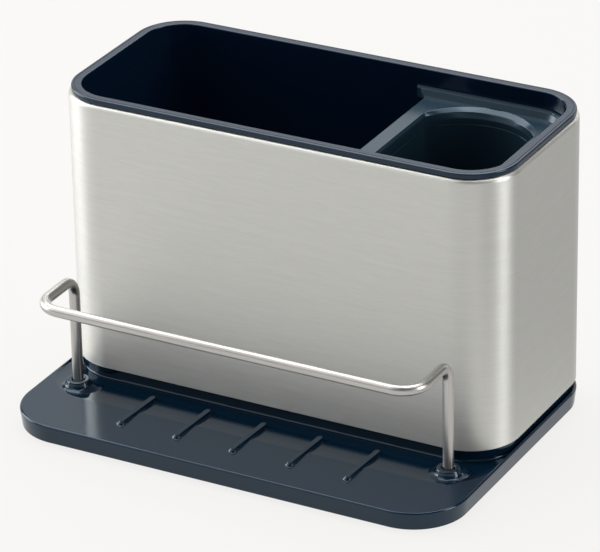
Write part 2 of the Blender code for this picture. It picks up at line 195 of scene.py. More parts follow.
cup_slot_width = 3.0 * MM

# The cup's mouth, from above the shelf down to the ring: how far in as shares of the side's
# and the end's slope, and how far down as a share of the ring's depth
cup_mouth_shares = (
    (0.5, 0.5, -0.15),
    (0.0, 0.1, 0.0),
    (0.15, 0.15, 0.01),
    (0.76, 0.7, 0.2),
    (0.82, 0.75, 0.23),
    (0.86, 0.78, 0.28),
    (0.97, 0.96, 0.56),
    (1.0, 0.99, 0.65),
)

# Camera at the photograph's viewing angle, and its aim from a point above the tray's middle
camera_azimuth = 28.655
camera_elevation = 26.123
camera_roll = -1.06
camera_distance = 1860.0 * MM
camera_lens = 247.69
camera_sensor = 36.0
camera_clip = (0.05, 40.0)
camera_pivot = (0.0, 26.05 * MM, 70.6 * MM)
camera_aside = -10.68 * MM
camera_rise = -12.3 * MM

# Finishes: each noise's scale, detail and roughness, the metals' grain, and what they share
wave_noise = (42.0, 1.0)
grain_noise = (1400.0, 2.0)
cloud_noise = (18.0, 3.0)
smear_noise = (75.0, 4.0, 0.6)
scratch_noise = (1.0, 3.0, 0.7)
streak_noise = (1.0, 2.0, 0.5)
broad_stretch = (0.35, 0.35, 0.2)
fine_share = 0.7
sleeve_grain_stretch = (100.0, 100.0, 2400.0)
wire_grain_stretch = (30.0, 1300.0, 1300.0)
plastic_tint = (0.66, 0.84, 1.0)
finish_outputs = (
    ("Colour", "NodeSocketColor"),
    ("Roughness", "NodeSocketFloat"),
    ("Height", "NodeSocketFloat"),
)

# Studio: floor, backdrop and room
backdrop = (0.947, 0.939, 0.921)
fill_level = 0.16
room_level = 0.1
room_glow = 1.05
floor_size = 12.0
floor_glow_share = 0.87
floor_shade = 0.6
dim_floor_direction = (0.8, 0.6, 0.0)
dim_floor_start = 0.07
dim_floor_end = 0.22
dim_floor_level = 0.65
horizon_low = 0.18
horizon_high = 0.3
rear_direction = (-0.259, 0.966, 0.0)
rear_start = 0.66
rear_full = 0.77
dim_direction = (0.485, 0.875, 0.0)
dim_start = 0.35
dim_full = 0.7

# Softboxes round the caddy: degrees from the front, positive to the right, then degrees up,
# metres away, metres wide and high, and watts
Softbox = namedtuple("Softbox", "name azimuth elevation distance width height power")
softboxes = (
    Softbox("left_softbox", -82, 10, 1.5, 0.9, 1.3, 20),
    Softbox("right_softbox", 94, 12, 1.5, 0.5, 1.3, 11.5),
    Softbox("front_softbox", -48, 47, 1.5, 1.4, 1.3, 6.5),
    Softbox("key_softbox", -140, 63, 1.2, 1.3, 1.25, 17.5),
    Softbox("top_softbox", 140, 72, 1.2, 1.0, 0.8, 5.5),
)

# Heights and places, read from the frame
sleeve_low, sleeve_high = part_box("outer_sleeve")
tray_low, tray_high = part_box("drip_tray")
liner_low, liner_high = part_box("inner_liner")
insert_low, insert_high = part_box("brush_insert")
rail_low, rail_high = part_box("rail")

sleeve_bottom = sleeve_low.z
sleeve_top = sleeve_high.z
sleeve_front = sleeve_low.y
sleeve_back = sleeve_high.y
sleeve_width = sleeve_high.x - sleeve_low.x
caddy_middle = (sleeve_front + sleeve_back) / 2

skirt_bottom = tray_low.z
tray_front = tray_low.y
tray_back = tray_high.y
tray_width = tray_high.x - tray_low.x
tray_top = skirt_bottom + tray_edge_height
tray_underside = skirt_bottom + underside_recess
plinth_top = tray_high.z
plinth_foot = tray_top - ledge_fall
basin_top = tray_underside + basin_floor
socket_bottom = tray_underside + socket_floor

rim_top = liner_high.z
rim_bottom = rim_top - rim_height
liner_bottom = liner_low.z
liner_floor_top = liner_bottom + liner_floor
liner_outer_inset = top_roll + top_flange + liner_clearance
liner_inner_inset = liner_outer_inset + liner_wall

insert_left = insert_high.x - insert_length
insert_inset = sleeve_high.x - insert_high.x
insert_front = insert_low.y
insert_back = insert_high.y
shelf_top = rim_top - shelf_drop
shelf_bottom = shelf_top - shelf_thickness
cup_bottom = insert_low.z
cup_floor_top = cup_bottom + cup_floor
cup_middle = insert_high.x - cup_right_margin - cup_width / 2
cup_back = insert_back - cup_end_margin
cup_front = insert_front + cup_end_margin

rail_side = tray_width / 2 - rail_end_inset
wire_radius = rail_high.x - rail_side
rail_leg_place = rail_high.y - wire_radius
rail_bar_place = rail_low.y + wire_radius
rail_height = rail_high.z - wire_radius
rail_foot = rail_low.z

Footprint = namedtuple("Footprint", "half_width front back front_radius back_radius")
tray_shape = Footprint(
    tray_width / 2, tray_front, tray_back, tray_front_radius, sleeve_radius + tray_reveal
)
sleeve_shape = Footprint(sleeve_width / 2, sleeve_front, sleeve_back, sleeve_radius, sleeve_radius)


def spread(count, pitch):
    """Evenly spaced places about zero."""
    return [(number - (count - 1) / 2) * pitch for number in range(count)]


def graded(low, high, windows, coarse, fine):
    """Places from low to high, close together inside the windows and wide apart elsewhere."""
    marks = sorted({low, high, *(edge for window in windows for edge in window if low < edge < high)})
    places = [low]
    for start, end in zip(marks, marks[1:]):
        middle = (start + end) / 2
        inside = any(first < middle < last for first, last in windows)
        count = max(1, round((end - start) / (fine if inside else coarse)))
        places += [start + (end - start) * step / count for step in range(1, count + 1)]
    return places


rib_places = spread(rib_count, rib_pitch)
rib_nose_place = tray_front + rib_front_setback + rib_nose_width / 2
rib_tail_place = sleeve_front - rib_back_setback - rib_back_width / 2
rib_reach = rib_nose_width / 2 + rib_margin
ledge_front = tray_front + tray_edge_round
ledge_back = sleeve_front + plinth_inset - plinth_foot_round
ledge_crest = tray_front + ledge_crest_setback
tray_columns = graded(
    -tray_shape.half_width + tray_front_radius,
    tray_shape.half_width - tray_front_radius,
    [(x - rib_reach, x + rib_reach) for x in rib_places],
    column_spacing,
    fine_spacing,
)
tray_rows = graded(
    ledge_front,
    ledge_back,
    [
        (rib_nose_place - rib_reach, rib_nose_place + rib_reach),
        (ledge_crest - ledge_crest_round, ledge_crest + ledge_crest_round),
        (rib_tail_place - rib_reach, rib_tail_place + rib_reach),
    ],
    row_spacing,
    fine_spacing,
)


def outline(shape, inset, z, columns=()):
    """Rounded rectangle inside a footprint, counter-clockwise from its left front corner.

    Columns are places along the width where its front edge has a point.
    """
    half = shape.half_width - inset
    front = shape.front + inset
    back = shape.back - inset
    front_round = max(shape.front_radius - inset, least_radius)
    back_round = max(shape.back_radius - inset, least_radius)
    corners = (
        (-half + front_round, front + front_round, front_round, 180),
        (half - front_round, front + front_round, front_round, 270),
        (half - back_round, back - back_round, back_round, 0),
        (-half + back_round, back - back_round, back_round, 90),
    )
    points = []
    for x, y, radius, start in corners:
        for step in range(corner_steps + 1):
            turn = math.radians(start + 90 * step / corner_steps)
            points.append(Vector((x + radius * math.cos(turn), y + radius * math.sin(turn), z)))
        if start == 180:
            points += [Vector((column, front, z)) for column in columns]
    return points


def circle(x, y, radius, z):
    turns = [2 * math.pi * step / lathe_steps for step in range(lathe_steps)]
    return [Vector((x + radius * math.cos(turn), y + radius * math.sin(turn), z)) for turn in turns]


def quarter_round(radius, steps=fillet_steps):
    """Offsets (across, down) of a quarter round, from its flat face to its upright one."""
    turns = [math.pi / 2 * step / steps for step in range(steps + 1)]
    return [(radius * (1 - math.sin(turn)), radius * (1 - math.cos(turn))) for turn in turns]


def add_mesh(name, bm):
    bmesh.ops.recalc_face_normals(bm, faces=bm.faces)
    mesh = bpy.data.meshes.new(name)
    bm.to_mesh(mesh)
    bm.free()
    mesh.shade_smooth()
    mesh.set_sharp_from_angle(angle=sharp_angle)
    piece = bpy.data.objects.new(name, mesh)
    bpy.context.scene.collection.objects.link(piece)
    return piece


def skin(bm, loops, closed=False):
    """Walls between loops of equal counts, capped or joined round into a ring."""
    rows = [[bm.verts.new(point) for point in loop] for loop in loops]
    pairs = list(zip(rows, rows[1:]))
    if closed:
        pairs.append((rows[-1], rows[0]))
    else:
        bm.faces.new(rows[0])
        bm.faces.new(rows[-1])
    for lower, upper in pairs:
        for here in range(len(lower)):
            after = (here + 1) % len(lower)
            bm.faces.new((lower[here], lower[after], upper[after], upper[here]))
    return rows


def loft(name, loops, closed=False):
    bm = bmesh.new()
    skin(bm, loops, closed)
    return add_mesh(name, bm)


def blocks(name, spans):
    """Separate blocks, each given by its lowest and highest corner."""
    bm = bmesh.new()
    for low, high in spans:
        size = Vector(high) - Vector(low)
        middle = (Vector(high) + Vector(low)) / 2
        place = Matrix.Translation(middle) @ Matrix.Diagonal((*size, 1.0))
        bmesh.ops.create_cube(bm, size=1.0, matrix=place)
    return add_mesh(name, bm)


def slot_tools(name, places, width, length, low, high):
    """Upright slot cutters with round ends, about the middles given."""
    bm = bmesh.new()
    radius = width / 2
    straight = length / 2 - radius
    for x, y in places:
        plan = []
        for end, start in ((straight, 0), (-straight, math.pi)):
            for step in range(fillet_steps * 2 + 1):
                turn = start + math.pi * step / (fillet_steps * 2)
                plan.append((x + radius * math.cos(turn), y + end + radius * math.sin(turn)))
        skin(bm, [[(px, py, z) for px, py in plan] for z in (low, high)])
    return add_mesh(name, bm)


def combine(target, tool, operation):
    """Boolean by the exact solver, worked into the mesh at once."""
    change = target.modifiers.new(tool.name, "BOOLEAN")
    change.operation = operation
    change.solver = "EXACT"
    change.object = tool
    bpy.context.view_layer.update()
    seen = target.evaluated_get(bpy.context.evaluated_depsgraph_get())
    mesh = bpy.data.meshes.new_from_object(seen)
    target.modifiers.clear()
    target.data = mesh
    mesh.shade_smooth()
    mesh.set_sharp_from_angle(angle=sharp_angle)
    bpy.data.objects.remove(tool, do_unlink=True)


def even_normals(piece):
    """Large faces keep their flat shading right up to the rounds beside them."""
    weighting = piece.modifiers.new("even_normals", "WEIGHTED_NORMAL")
    weighting.keep_sharp = True
    weighting.weight = face_weight


def dress(piece, material, body, slot, *nodes):
    piece.data.materials.clear()
    piece.data.materials.append(material)
    even_normals(piece)
    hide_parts(*nodes)
    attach(piece, body)


def smooth_step(value):
    share = min(max(value, 0.0), 1.0)
    return share * share * (3 - 2 * share)


def eased_bend(past, bend):
    """Ramp that starts at zero, with its bend spread over a distance on either side."""
    if past <= -bend:
        return 0.0
    if past >= bend:
        return past
    return (past + bend) ** 2 / (4 * bend)


def ledge_height(y):
    """Nearly level from the front edge to a crest, then a slope down, then a gentle fall."""
    front_rate = ledge_crest_fall / (ledge_crest - ledge_front)
    slope_rate = ledge_slope_fall / ledge_slope_length
    hollow = ledge_crest + ledge_slope_length
    back_fall = tray_top - ledge_crest_fall - ledge_slope_fall - plinth_foot
    back_rate = back_fall / (ledge_back - hollow)
    fall = front_rate * (y - ledge_front)
    fall += (slope_rate - front_rate) * eased_bend(y - ledge_crest, ledge_crest_round)
    fall += (back_rate - slope_rate) * eased_bend(y - hollow, ledge_hollow_round)
    return tray_top - fall


def nose_rise(distance):
    """Ball nose: a round cap that a fillet carries out onto the ledge."""
    cap = math.radians(nose_cap_angle)
    edge = nose_round * math.sin(cap)
    foot = edge + nose_fillet * math.sin(cap)
    if distance >= foot:
        return 0.0
    if distance > edge:
        return nose_fillet - math.sqrt(nose_fillet ** 2 - (foot - distance) ** 2)
    base = nose_fillet * (1 - math.cos(cap)) - nose_round * math.cos(cap)
    return base + math.sqrt(nose_round ** 2 - distance ** 2)


def rib_relief(x, y, ledge):
    """Height of a rib above the ledge: a bar that widens towards the back, with a ball nose."""
    rise = 0.0
    for middle in rib_places:
        across = abs(x - middle)
        if across > rib_reach:
            continue
        share = min(max((y - rib_nose_place) / (rib_tail_place - rib_nose_place), 0.0), 1.0)
        half = (rib_front_width + (rib_back_width - rib_front_width) * share) / 2
        top = tray_top + rib_front_rise + (rib_back_rise - rib_front_rise) * share - ledge
        past = max(rib_nose_place - y, y - rib_tail_place, 0.0)
        outside = math.hypot(across, past) - half
        bar = top * (1 - smooth_step((outside + rib_flank / 2) / rib_flank))
        ball = nose_rise(math.hypot(across, y - rib_nose_place))
        rise = max(rise, bar, ball)
    return rise


def ledge_loops():
    """Rows across the ledge, from the plinth's foot to the tray's edge, with the ribs in them."""
    inner = outline(sleeve_shape, plinth_inset - plinth_foot_round, 0, tray_columns)
    outer = outline(tray_shape, tray_edge_round, 0, tray_columns)
    loops = []
    for row in reversed(tray_rows[1:-1]):
        share = (ledge_back - row) / (ledge_back - ledge_front)
        ledge = ledge_height(row)
        loop = []
        for near, far in zip(inner, outer):
            point = near.lerp(far, share)
            point.z = ledge + rib_relief(point.x, point.y, ledge)
            loop.append(point)
        loops.append(loop)
    return loops


def tray_loops():
    """Sections of the tray from the basin floor, over the plinth and the ledge, to the underside."""
    def section(shape, inset, z):
        return outline(shape, inset, z, tray_columns)

    basin_inset = plinth_inset + plinth_wall
    loops = []
    for across, up in quarter_round(basin_round):
        loops.append(section(sleeve_shape, basin_inset + across, basin_top + up))
    for across, down in reversed(quarter_round(plinth_edge_round)):
        loops.append(section(sleeve_shape, basin_inset - across, plinth_top - down))
    for across, down in quarter_round(plinth_edge_round):
        loops.append(section(sleeve_shape, plinth_inset + across, plinth_top - down))
    for across, up in reversed(quarter_round(plinth_foot_round)):
        loops.append(section(sleeve_shape, plinth_inset - across, plinth_foot + up))
    loops += ledge_loops()
    for across, down in quarter_round(tray_edge_round):
        loops.append(section(tray_shape, across, tray_top - down))
    skirt_middle = tray_draft + skirt_round
    for across, up in reversed(quarter_round(skirt_round)):
        loops.append(section(tray_shape, skirt_middle - skirt_round + across, skirt_bottom + up))
    loops.append(section(tray_shape, tray_draft + tray_wall, skirt_bottom))
    loops.append(section(tray_shape, tray_draft + tray_wall, tray_underside))
    return loops


def eased_curve(points, steps):
    """Smooth curve through all points (Catmull-Rom)."""
    curve = []
    ends = [points[0], *points, points[-1]]
    for before, start, end, after in zip(ends, ends[1:], ends[2:], ends[3:]):
        for step in range(steps):
            share = step / steps
            pull = (end - before) / 2 * share
            pull += (2 * before - 5 * start + 4 * end - after) / 2 * share ** 2
            pull += (3 * start - before - 3 * end + after) / 2 * share ** 3
            curve.append(start + pull)
    curve.append(points[-1])
    return curve


def boss_section():
    """Half section of a boss: a low flange that sweeps up to a waist and a crown."""
    ledge = ledge_height(rail_leg_place)
    points = [Vector((radius * MM, ledge + rise * MM)) for radius, rise in boss_profile]
    foot = Vector((points[0].x, plinth_foot - tray_wall / 2))
    return [foot, *eased_curve(points, boss_curve_steps)]


def build_boss(name, x):
    return loft(name, [circle(x, rail_leg_place, radius, z) for radius, z in boss_section()])


def build_socket(name, x):
    bore = wire_radius + socket_clearance
    top = ledge_height(rail_leg_place) + boss_height
    section = [(bore, socket_bottom)]
    for across, down in reversed(quarter_round(socket_flare)):
        section.append((bore + across, top - down))
    section.append((bore + socket_flare, top + overrun))
    return loft(name, [circle(x, rail_leg_place, radius, z) for radius, z in section])


def pocket_spans():
    """Pockets that core out the ledge from below, between its front wall and the plinth's."""
    half = (pocket_pitch - pocket_web) / 2
    front = tray_front + tray_draft + tray_wall + pocket_web
    back = sleeve_front + plinth_inset - pocket_web
    low = tray_underside - overrun
    high = plinth_foot - tray_wall
    middles = spread(pocket_count, pocket_pitch)
    return [((x - half, front, low), (x + half, back, high)) for x in middles]


def build_tray(material):
    tray = loft("tray_moulding", tray_loops())
    combine(tray, blocks("pockets", pocket_spans()), "DIFFERENCE")
    for side, x in (("left", -rail_side), ("right", rail_side)):
        combine(tray, build_boss(f"boss_{side}", x), "UNION")
        combine(tray, build_socket(f"socket_{side}", x), "DIFFERENCE")
    dress(tray, material, "tray", "tray_plastic", "drip_tray")


def build_sleeve(material):
    """Ring section: up the outside, over the rolled edge, and back down the inside."""
    section = [(hem_round, sleeve_bottom), (0, sleeve_bottom + hem_round)]
    for across, down in reversed(quarter_round(top_roll, 2 * fillet_steps)):
        section.append((across, sleeve_top - down))
    section.append((top_roll + top_flange, sleeve_top))
    section.append((top_roll + top_flange, sleeve_top - sheet))
    for across, down in quarter_round(top_roll - sheet):
        section.append((sheet + across, sleeve_top - sheet - down))
    section.append((sheet, sleeve_bottom + hem_round))
    section.append((sheet - hem_round, sleeve_bottom))
    loops = [outline(sleeve_shape, inset, z) for inset, z in section]
    sleeve = loft("steel_wrap", loops, closed=True)
    dress(sleeve, material, "caddy", "sleeve_steel", "outer_sleeve")


def liner_loops():
    """Sections of the tub from its floor, up inside, over the rim and down outside."""
    section = []
    for across, up in quarter_round(liner_floor_round):
        section.append((liner_inner_inset + liner_draft + across, liner_floor_top + up))
    for across, down in reversed(quarter_round(rim_inner_round)):
        section.append((liner_inner_inset - across, rim_top - down))
    groove = rim_inset + rim_band
    section.append((groove + rim_groove_width, rim_top))
    for share in rim_groove_floor_shares:
        section.append((groove + rim_groove_width * share, rim_top - rim_groove_depth))
    section.append((groove, rim_top))
    for across, down in quarter_round(rim_round):
        section.append((rim_inset + across, rim_top - down))
    for across, up in reversed(quarter_round(rim_foot_round)):
        section.append((rim_inset + across, rim_bottom + up))
    section.append((liner_outer_inset, rim_bottom))
    for across, up in reversed(quarter_round(liner_floor_round)):
        section.append((liner_outer_inset + liner_draft + across, liner_bottom + up))
    return [outline(sleeve_shape, inset, z) for inset, z in section]


def liner_lean(z):
    """How far in the liner's drafted wall stands at a height, against its place at the rim."""
    return liner_draft * (rim_top - z) / (rim_top - liner_floor_top)


def build_bracket(name, x, sleeve_face, inward):
    """Rib that leans with the liner's wall, rooted in it, and carries the insert's shelf."""
    loops = []
    for z in (liner_floor_top - liner_floor * bracket_root_share, shelf_bottom - seat_gap):
        wall_face = liner_inner_inset + liner_lean(z)
        root = sleeve_face + inward * (wall_face - liner_wall * bracket_root_share)
        edge = sleeve_face + inward * (wall_face + bracket_reach)
        corners = ((-1, root), (1, root), (1, edge), (-1, edge))
        loops.append([Vector((x + side * bracket_width / 2, y, z)) for side, y in corners])
    return loft(name, loops)


def build_liner(material):
    liner = loft("tub_liner", liner_loops())
    for number, share in enumerate(bracket_place_shares, 1):
        x = insert_left + insert_length * share
        combine(liner, build_bracket(f"bracket_front_{number}", x, sleeve_front, 1), "UNION")
        combine(liner, build_bracket(f"bracket_back_{number}", x, sleeve_back, -1), "UNION")
    places = []
    for row in spread(liner_slot_rows, liner_slot_row_pitch):
        places += [(x, caddy_middle + row) for x in spread(liner_slot_columns, liner_slot_pitch)]
    low = liner_bottom - overrun
    high = liner_floor_top + overrun
    slots = slot_tools("liner_slots", places, liner_slot_width, liner_slot_length, low, high)
    combine(liner, slots, "DIFFERENCE")
    dress(liner, material, "liner", "liner_plastic", "inner_liner")


def shelf_loops():
    """Sections of a shallow lidless tray: its underside, side, lip and filleted top."""
    lip_top = shelf_top + lip_height
    section = [(insert_inset, shelf_bottom)]
    for across, down in reversed(quarter_round(lip_round)):
        section.append((insert_inset + across, lip_top - down))
    section.append((insert_inset + lip_edge, lip_top - lip_edge_fall))
    shoulder = insert_inset + lip_thickness
    section.append((shoulder, lip_top - lip_step))
    section.append((shoulder + lip_shoulder, lip_top - lip_step - lip_shoulder_fall))
    section.append((insert_inset + lip_thickness + lip_fillet, shelf_top))
    return [outline(sleeve_shape, inset, z) for inset, z in section]


def flare_outline(z):
    """Plan of what is cut away left of the shelf, with a fillet at each wall of the liner."""
    far_left = -sleeve_width / 2
    tip = insert_left - flare_reach
    steps = 2 * fillet_steps
    back_side = []
    for step in range(steps + 1):
        turn = math.pi / 2 * step / steps
        x = tip + flare_reach * math.cos(turn)
        y = insert_back - flare_length + (flare_length - lip_thickness) * math.sin(turn)
        back_side.append((x, y))
    back_side.append((tip, insert_back + overrun))
    middle = insert_front + insert_back
    front_side = [(x, middle - y) for x, y in reversed(back_side)]
    front_corner = (far_left, insert_front - overrun)
    back_corner = (far_left, insert_back + overrun)
    return [Vector((x, y, z)) for x, y in (front_corner, *front_side, *back_side, back_corner)]


def cup_outline(side_inset, end_inset, z):
    """Straight sides, bowed ends and eased corners, set in from the edge of the cup's mouth."""
    side = cup_width / 2 - side_inset
    bulge = cup_end_bulge - end_inset
    radius = (side * side + bulge * bulge) / (2 * bulge)
    reach = radius - cup_corner_round
    corner = math.acos((side - cup_corner_round) / reach)
    eased = [corner * step / bow_corner_steps for step in range(bow_corner_steps)]
    bowed = [corner + (math.pi - 2 * corner) * step / bow_steps for step in range(bow_steps + 1)]
    turns = eased + bowed + [math.pi - turn for turn in reversed(eased)]
    points = []
    for end, middle in ((1, cup_back - end_inset - radius), (-1, cup_front + end_inset + radius)):
        for turn in turns:
            swing = min(max(turn, corner), math.pi - corner)
            x = reach * math.cos(swing) + cup_corner_round * math.cos(turn)
            y = reach * math.sin(swing) + cup_corner_round * math.sin(turn)
            points.append(Vector((cup_middle + end * x, middle + end * y, z)))
    return points


def build_cup_outside():
    side = cup_side_slope - cup_wall
    end = cup_end_slope - cup_wall
    loops = []
    for across, up in quarter_round(cup_floor_round):
        inset = cup_draft + across
        loops.append(cup_outline(side + inset, end + inset, cup_bottom + up))
    loops.append(cup_outline(side, end, shelf_top - shelf_thickness / 2))
    return loft("cup_outside", loops)


def build_cup_inside():
    """Cutter for the cup: a drafted well, a faint step under its ring, and a sloping mouth.

    Above the shelf it draws in again, so that it leaves the lip whole.
    """
    ring_foot = shelf_top - cup_ring_depth
    loops = []
    for across, up in quarter_round(cup_floor_round):
        inset = cup_draft + across
        loops.append(cup_outline(cup_side_slope + inset, cup_end_slope + inset, cup_floor_top + up))
    side = cup_side_slope + cup_ring_step
    end = cup_end_slope + cup_ring_step
    loops.append(cup_outline(side, end, ring_foot - cup_ring_step))
    loops.append(cup_outline(cup_side_slope, cup_end_slope, ring_foot))
    for side_share, end_share, down_share in reversed(cup_mouth_shares):
        side = cup_side_slope * side_share
        end = cup_end_slope * end_share
        loops.append(cup_outline(side, end, shelf_top - cup_ring_depth * down_share))
    _, top_end_share, _ = cup_mouth_shares[0]
    loops.append(cup_outline(0, cup_end_slope * top_end_share, shelf_top + lip_height + overrun))
    return loft("cup_inside", loops)


def build_insert(material):
    insert = loft("cup_insert", shelf_loops())
    low = shelf_bottom - overrun
    high = shelf_top + lip_height + overrun
    combine(insert, loft("flare_cut", [flare_outline(low), flare_outline(high)]), "DIFFERENCE")
    combine(insert, build_cup_outside(), "UNION")
    combine(insert, build_cup_inside(), "DIFFERENCE")
    middle = (cup_front + cup_back) / 2
    places = [(cup_middle + x, middle) for x in spread(cup_slot_count, cup_slot_pitch)]
    low = cup_bottom - overrun
    high = cup_floor_top + overrun
    slots = slot_tools("cup_slots", places, cup_slot_width, cup_slot_length, low, high)
    combine(insert, slots, "DIFFERENCE")
    dress(insert, material, "insert", "insert_plastic", "brush_insert")


def bend_path(corners, radii):
    """Straight runs between corners, with each bend drawn as an arc of its own radius."""
    path = [corners[0]]
    for before, corner, after, radius in zip(corners, corners[1:], corners[2:], radii):
        back = (before - corner).normalized()
        ahead = (after - corner).normalized()
        half = back.angle(ahead) / 2
        middle = corner + (back + ahead).normalized() * radius / math.sin(half)
        start = corner + back * radius / math.tan(half) - middle
        end = corner + ahead * radius / math.tan(half) - middle
        for step in range(bend_steps + 1):
            path.append(middle + start.slerp(end, step / bend_steps).normalized() * radius)
    path.append(corners[-1])
    return path


def build_rail(material):
    """Wire drawn as a tube. Each point's place on the straight wire is kept for the grain."""
    corners = [
        Vector((-rail_side, rail_leg_place, rail_foot)),
        Vector((-rail_side, rail_leg_place, rail_height)),
        Vector((-rail_side, rail_bar_place, rail_height)),
        Vector((rail_side, rail_bar_place, rail_height)),
        Vector((rail_side, rail_leg_place, rail_height)),
        Vector((rail_side, rail_leg_place, rail_foot)),
    ]
    path = bend_path(corners, (rail_top_bend, rail_front_bend, rail_front_bend, rail_top_bend))
    neighbours = zip([path[0], *path], [*path[1:], path[-1]])
    tangents = [(after - before).normalized() for before, after in neighbours]
    turns = [2 * math.pi * step / wire_sides for step in range(wire_sides)]
    side = Vector((1, 0, 0))
    along = 0.0
    loops = []
    distances = []
    for number, (place, tangent) in enumerate(zip(path, tangents)):
        if number:
            along += (place - path[number - 1]).length
            side = tangents[number - 1].rotation_difference(tangent) @ side
        side = (side - tangent * side.dot(tangent)).normalized()
        other = tangent.cross(side)
        offsets = [wire_radius * (math.cos(turn) * side + math.sin(turn) * other) for turn in turns]
        loops.append([place + offset for offset in offsets])
        distances.append(along)
    bm = bmesh.new()
    straight_place = bm.verts.layers.float_vector.new(wire_place_name)
    for distance, ring in zip(distances, skin(bm, loops)):
        for turn, vertex in zip(turns, ring):
            across = (wire_radius * math.cos(turn), wire_radius * math.sin(turn))
            vertex[straight_place] = (distance, *across)
    rail = add_mesh("wire_rail", bm)
    # The photograph shows no mirror image of the rail in the steel or the tray
    rail.visible_glossy = False
    dress(rail, material, "rail", "rail_steel", "rail")


def fill(node, **values):
    """Set a node's inputs by name, with spaces written as underscores."""
    for name, value in values.items():
        node.inputs[name.replace("_", " ")].default_value = value


class Shader:
    """A node tree, with short calls to add and join its nodes."""

    def __init__(self, tree):
        self.tree = tree

    def add(self, kind, **settings):
        node = self.tree.nodes.new(kind)
        for name, value in settings.items():
            setattr(node, name, value)
        return node

    def join(self, source, target):
        self.tree.links.new(source, target)

    def noise(self, vector, scale, detail=2.0, roughness=0.5):
        node = self.add("ShaderNodeTexNoise")
        fill(node, Scale=scale, Detail=detail, Roughness=roughness)
        self.join(vector, node.inputs["Vector"])
        return node.outputs["Fac"]

    def stretch(self, vector, scale):
        node = self.add("ShaderNodeMapping")
        fill(node, Scale=scale)
        self.join(vector, node.inputs["Vector"])
        return node.outputs["Vector"]

    def ramp(self, value, low, high, new_low, new_high, smooth=False):
        """Map a value's range onto another one, held at both ends."""
        node = self.add("ShaderNodeMapRange", interpolation_type="SMOOTHSTEP" if smooth else "LINEAR")
        fill(node, From_Min=low, From_Max=high, To_Min=new_low, To_Max=new_high)
        self.join(value, node.inputs["Value"])
        return node.outputs["Result"]

    def figure(self, operation, first, second):
        node = self.add("ShaderNodeMath", operation=operation)
        for socket, value in zip(node.inputs, (first, second)):
            if isinstance(value, (int, float)):
                socket.default_value = value
            else:
                self.join(value, socket)
        return node.outputs["Value"]

    def swing(self, value, amount, base):
        """Base, plus the amount times how far a value of 0 to 1 is above or below its middle."""
        centred = self.figure("MULTIPLY", self.figure("SUBTRACT", value, 0.5), 2.0)
        return self.figure("ADD", self.figure("MULTIPLY", centred, amount), base)

    def facing(self, direction, wanted):
        """How closely a direction points in the one wanted."""
        node = self.add("ShaderNodeVectorMath", operation="DOT_PRODUCT")
        self.join(direction, node.inputs[0])
        node.inputs[1].default_value = wanted
        return node.outputs["Value"]

    def shade(self, colour, factor):
        """Colour times a grey factor."""
        node = self.add("ShaderNodeVectorMath", operation="SCALE")
        self.join(colour, node.inputs[0])
        self.join(factor, node.inputs["Scale"])
        return node.outputs["Vector"]


def start_group(name, inputs):
    """Empty node group with inputs (name, kind, value) and the outputs that a finish has."""
    tree = bpy.data.node_groups.new(name, "ShaderNodeTree")
    for label, kind, value in inputs:
        socket = tree.interface.new_socket(label, in_out="INPUT", socket_type=kind)
        socket.default_value = value
    for label, kind in finish_outputs:
        tree.interface.new_socket(label, in_out="OUTPUT", socket_type=kind)
    shader = Shader(tree)
    source = shader.add("NodeGroupInput")
    result = shader.add("NodeGroupOutput")
    return shader, source.outputs, result.inputs


def make_moulding_group():
    """Moulded plastic: slow flow waves, a faint grain, and small changes of tone and gloss."""
    shader, given, result = start_group(
        "moulded_plastic",
        (
            ("Colour", "NodeSocketColor", (0.02, 0.03, 0.04, 1.0)),
            ("Roughness", "NodeSocketFloat", 0.2),
            ("Tone Change", "NodeSocketFloat", 0.1),
            ("Gloss Change", "NodeSocketFloat", 0.03),
            ("Wave Height", "NodeSocketFloat", 0.03),
            ("Grain Height", "NodeSocketFloat", 0.002),
        ),
    )
    place = shader.add("ShaderNodeTexCoord").outputs["Object"]
    tone = shader.swing(shader.noise(place, *cloud_noise), given["Tone Change"], 1.0)
    gloss = shader.swing(shader.noise(place, *smear_noise), given["Gloss Change"], given["Roughness"])
    waves = shader.figure("MULTIPLY", shader.noise(place, *wave_noise), given["Wave Height"])
    grain = shader.figure("MULTIPLY", shader.noise(place, *grain_noise), given["Grain Height"])
    shader.join(shader.shade(given["Colour"], tone), result["Colour"])
    shader.join(gloss, result["Roughness"])
    shader.join(shader.figure("ADD", waves, grain), result["Height"])
    return shader.tree


def make_brushing_group():
    """Brushed steel: long fine scratches, with tone and gloss that follow them."""
    shader, given, result = start_group(
        "brushed_steel",
        (
            ("Vector", "NodeSocketVector", (0.0, 0.0, 0.0)),
            ("Colour", "NodeSocketColor", (0.5, 0.5, 0.5, 1.0)),
            ("Roughness", "NodeSocketFloat", 0.35),
            ("Tone Change", "NodeSocketFloat", 0.1),
            ("Gloss Change", "NodeSocketFloat", 0.05),
            ("Scratch Height", "NodeSocketFloat", 0.004),
        ),
    )
    fine = shader.noise(given["Vector"], *scratch_noise)
    broad = shader.noise(shader.stretch(given["Vector"], broad_stretch), *streak_noise)
    fine_part = shader.figure("MULTIPLY", fine, fine_share)
    broad_part = shader.figure("MULTIPLY", broad, 1 - fine_share)
    streaks = shader.figure("ADD", fine_part, broad_part)
    tone = shader.swing(streaks, given["Tone Change"], 1.0)
    gloss = shader.swing(streaks, given["Gloss Change"], given["Roughness"])
    shader.join(shader.shade(given["Colour"], tone), result["Colour"])
    shader.join(gloss, result["Roughness"])
    shader.join(shader.figure("MULTIPLY", fine, given["Scratch Height"]), result["Height"])
    return shader.tree


def start_material(name):
    material = bpy.data.materials.new(name)
    material.use_nodes = True
    return material, Shader(material.node_tree), material.node_tree.nodes["Principled BSDF"]


